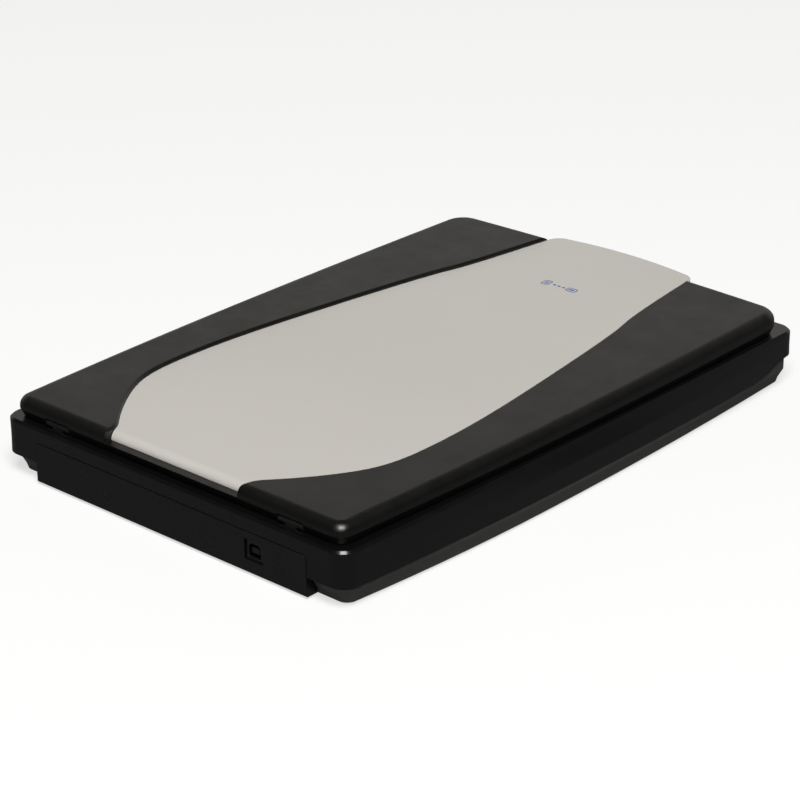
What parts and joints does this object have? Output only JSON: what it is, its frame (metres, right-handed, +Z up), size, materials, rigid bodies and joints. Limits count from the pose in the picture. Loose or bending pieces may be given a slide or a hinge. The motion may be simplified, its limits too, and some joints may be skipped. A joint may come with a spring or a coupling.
{
  "type": "flatbed scanner",
  "caption": "Slim flatbed scanner: hinged lid with pale centre panel and finger tongue, glass platen, belt-driven sensor carriage, rear port, rubber feet.",
  "frame": {"origin": "middle of the overall footprint, on the plane the feet stand on", "axes": "+X to the user's right, +Y to the rear where the lid hinges and the port is, +Z up"},
  "size_m": [0.2678, 0.3914, 0.048],
  "materials": {
    "gloss_black": "gloss moulded, slightly soft reflections",
    "matte_black": "fine spark-eroded texture",
    "satin_black": "satin moulded",
    "lid_charcoal": "fine matte texture, warm charcoal",
    "silver_paint": "satin silver paint on plastic",
    "liner_black": "matte",
    "platen_glass": "polished float glass",
    "sensor_glass": "polished thin glass",
    "lens_block": "fine rod array",
    "light_guide_clear": "clear moulded acrylic",
    "clear_lens": "clear moulded",
    "black_tape": "matte adhesive foam",
    "white_strip": "matte white",
    "mat_white": "matte white film",
    "foam_grey": "open-cell foam",
    "black_rubber": "matte",
    "belt_rubber": "matte, toothed inside",
    "dark_steel": "blackened",
    "zinc_steel": "bright zinc",
    "spring_steel": "drawn wire",
    "polished_steel": "ground and polished",
    "motor_can": "deep-drawn zinc-plated can",
    "port_metal": "nickel-plated shell",
    "brass_pinion": "turned",
    "bronze": "sintered bronze",
    "acetal_white": "low-friction acetal",
    "holder_black": "matte",
    "sensor_black": "matte",
    "hinge_black": "satin acetal",
    "button_black": "satin moulded",
    "lock_grey": "matte",
    "board_green": "solder mask",
    "chip_black": "moulded package",
    "socket_plastic": "moulded",
    "switch_plastic": "moulded",
    "cable_white": "laminated film"
  },
  "bodies": {
    "base": {"upper_housing": "gloss_black", "lower_housing": "matte_black", "rear_port_panel": "satin_black", "scan_glass": "platen_glass", "glass_tape": "black_tape", "calibration_strip": "white_strip", "rubber_feet": "black_rubber", "case_screws": "dark_steel", "guide_shaft": "polished_steel", "stepper_motor": "motor_can", "motor_bracket": "zinc_steel", "bracket_screws": "zinc_steel", "gear_shaft": "polished_steel", "idler_shaft": "polished_steel", "idler_bracket": "zinc_steel", "belt_spring": "spring_steel", "drive_belt": "belt_rubber", "main_board": "board_green", "board_chips": "chip_black", "board_screws": "zinc_steel", "cable_socket": "socket_plastic", "flat_cable": "cable_white", "port_shell": "port_metal", "port_insert": "socket_plastic", "home_sensor": "chip_black", "button_board": "board_green", "button_switches": "switch_plastic", "status_lens": "clear_lens"},
    "rotor": {"motor_shaft": "polished_steel", "motor_pinion": "brass_pinion"},
    "pulley": {"pulley_gear": "acetal_white"},
    "idler": {"idler_pulley": "acetal_white"},
    "carriage": {"carriage_holder": "holder_black", "carriage_bushes": "bronze", "belt_clip": "holder_black", "sensor_housing": "sensor_black", "sensor_cover_glass": "sensor_glass", "rod_lens": "lens_block", "light_guide": "light_guide_clear", "sensor_board": "board_green", "float_springs": "spring_steel", "glass_sliders": "acetal_white"},
    "scan_button": {"scan_button": "button_black"},
    "copy_button": {"copy_button": "button_black"},
    "mail_button": {"mail_button": "button_black"},
    "file_button": {"file_button": "button_black"},
    "lock": {"lock_slider": "lock_grey"},
    "hinge_posts": {"left_hinge_post": "hinge_black", "right_hinge_post": "hinge_black"},
    "lid": {"lid_cover": "lid_charcoal", "lid_panel": "silver_paint", "lid_liner": "liner_black", "foam_pad": "foam_grey", "document_mat": "mat_white", "left_hinge_arm": "hinge_black", "right_hinge_arm": "hinge_black", "hinge_pins": "polished_steel", "arm_screws": "zinc_steel", "liner_screws": "dark_steel", "lid_bumpers": "black_rubber"}
  },
  "joints": [
    {"name": "lid_lift", "type": "slide", "parent": "base", "child": "hinge_posts", "axis": [0, 0, 1], "range_m": [0, 0.012]},
    {"name": "lid_hinge", "type": "hinge", "parent": "hinge_posts", "child": "lid", "pos_m": [0, 0.18925, 0.0372], "axis": [-1, 0, 0], "range_deg": [0, 85]},
    {"name": "carriage_slide", "type": "slide", "parent": "base", "child": "carriage", "axis": [0, -1, 0], "range_m": [0, 0.306]},
    {"name": "pulley_spin", "type": "hinge", "parent": "base", "child": "pulley", "pos_m": [0.014, 0.17175, 0], "axis": [0, 0, 1], "range_deg": [-20, 3400]},
    {"name": "idler_spin", "type": "hinge", "parent": "base", "child": "idler", "pos_m": [0.014, -0.17275, 0], "axis": [0, 0, 1], "range_deg": [-20, 3400]},
    {"name": "motor_spin", "type": "hinge", "parent": "base", "child": "rotor", "pos_m": [0.029, 0.17175, 0], "axis": [0, 0, 1], "range_deg": [-13600, 80]},
    {"name": "scan_button_press", "type": "slide", "parent": "base", "child": "scan_button", "axis": [0, 1, 0], "range_m": [0, 0.0008]},
    {"name": "copy_button_press", "type": "slide", "parent": "base", "child": "copy_button", "axis": [0, 1, 0], "range_m": [0, 0.0008]},
    {"name": "mail_button_press", "type": "slide", "parent": "base", "child": "mail_button", "axis": [0, 1, 0], "range_m": [0, 0.0008]},
    {"name": "file_button_press", "type": "slide", "parent": "base", "child": "file_button", "axis": [0, 1, 0], "range_m": [0, 0.0008]},
    {"name": "lock_slide", "type": "slide", "parent": "base", "child": "lock", "axis": [1, 0, 0], "range_m": [0, 0.006]}
  ],
  "couplings": [
    {"joint": "pulley_spin", "follows": "carriage_slide", "rad_per_m": 188.68},
    {"joint": "idler_spin", "follows": "carriage_slide", "rad_per_m": 188.68},
    {"joint": "motor_spin", "follows": "carriage_slide", "rad_per_m": -754.72}
  ]
}
